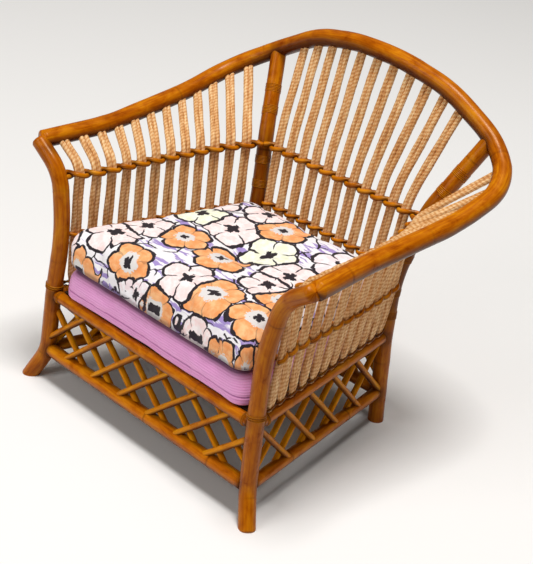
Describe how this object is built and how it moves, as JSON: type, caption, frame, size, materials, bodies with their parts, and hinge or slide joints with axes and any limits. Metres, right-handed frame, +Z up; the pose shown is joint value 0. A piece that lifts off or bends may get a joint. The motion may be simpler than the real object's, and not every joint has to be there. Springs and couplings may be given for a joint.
{
  "type": "rattan armchair",
  "caption": "Dolls house armchair: bent cane frame with flared arms, raked crest back, latticed base and two loose cushions.",
  "frame": {"origin": "on the ground, under the middle of the chair's bounding box", "axes": "+Z up, -Y is the way the sitter faces, +X to the sitter's left"},
  "size_m": [0.0784, 0.063, 0.0732],
  "materials": {
    "bent_pole": "satin varnish",
    "straight_pole": "satin varnish",
    "lattice_stick": "satin varnish",
    "upright_cane": "matt, fibrous",
    "twined_band": "satin varnish",
    "binding": "satin varnish",
    "board": "bare",
    "ribbed_ribbon": "ribbed ribbon with a soft sheen",
    "printed_cotton": "matt printed cotton"
  },
  "bodies": {
    "frame": {"back_post_left": "bent_pole", "back_post_right": "bent_pole", "back_post_wrap_left": "binding", "back_post_wrap_right": "binding", "band_arm_foot_left": "twined_band", "band_arm_foot_right": "twined_band", "band_arm_low_left": "twined_band", "band_arm_low_right": "twined_band", "band_arm_middle_left": "twined_band", "band_arm_middle_right": "twined_band", "band_back_foot": "twined_band", "band_back_low": "twined_band", "band_back_middle": "twined_band", "canes_arm_left": "upright_cane", "canes_arm_right": "upright_cane", "canes_back": "upright_cane", "foot_rail_back": "straight_pole", "foot_rail_front": "straight_pole", "foot_rail_side_left": "straight_pole", "foot_rail_side_right": "straight_pole", "front_post_left": "bent_pole", "front_post_right": "bent_pole", "front_post_tie_left": "binding", "front_post_tie_right": "binding", "lattice_back_inner": "lattice_stick", "lattice_back_outer": "lattice_stick", "lattice_front_inner": "lattice_stick", "lattice_front_outer": "lattice_stick", "lattice_side_inner_left": "lattice_stick", "lattice_side_inner_right": "lattice_stick", "lattice_side_outer_left": "lattice_stick", "lattice_side_outer_right": "lattice_stick", "seat_deck": "board", "seat_rail_back": "straight_pole", "seat_rail_front": "straight_pole", "seat_rail_side_left": "straight_pole", "seat_rail_side_right": "straight_pole", "top_rail": "bent_pole"},
    "base_cushion": {"base_cushion": "ribbed_ribbon"},
    "seat_cushion": {"seat_cushion": "printed_cotton"}
  },
  "joints": [
    {"name": "base_cushion_lift", "type": "slide", "parent": "frame", "child": "base_cushion", "axis": [0, 0, 1], "range_m": [0, 0.05]},
    {"name": "seat_cushion_lift", "type": "slide", "parent": "base_cushion", "child": "seat_cushion", "axis": [0, 0, 1], "range_m": [0, 0.05]}
  ]
}
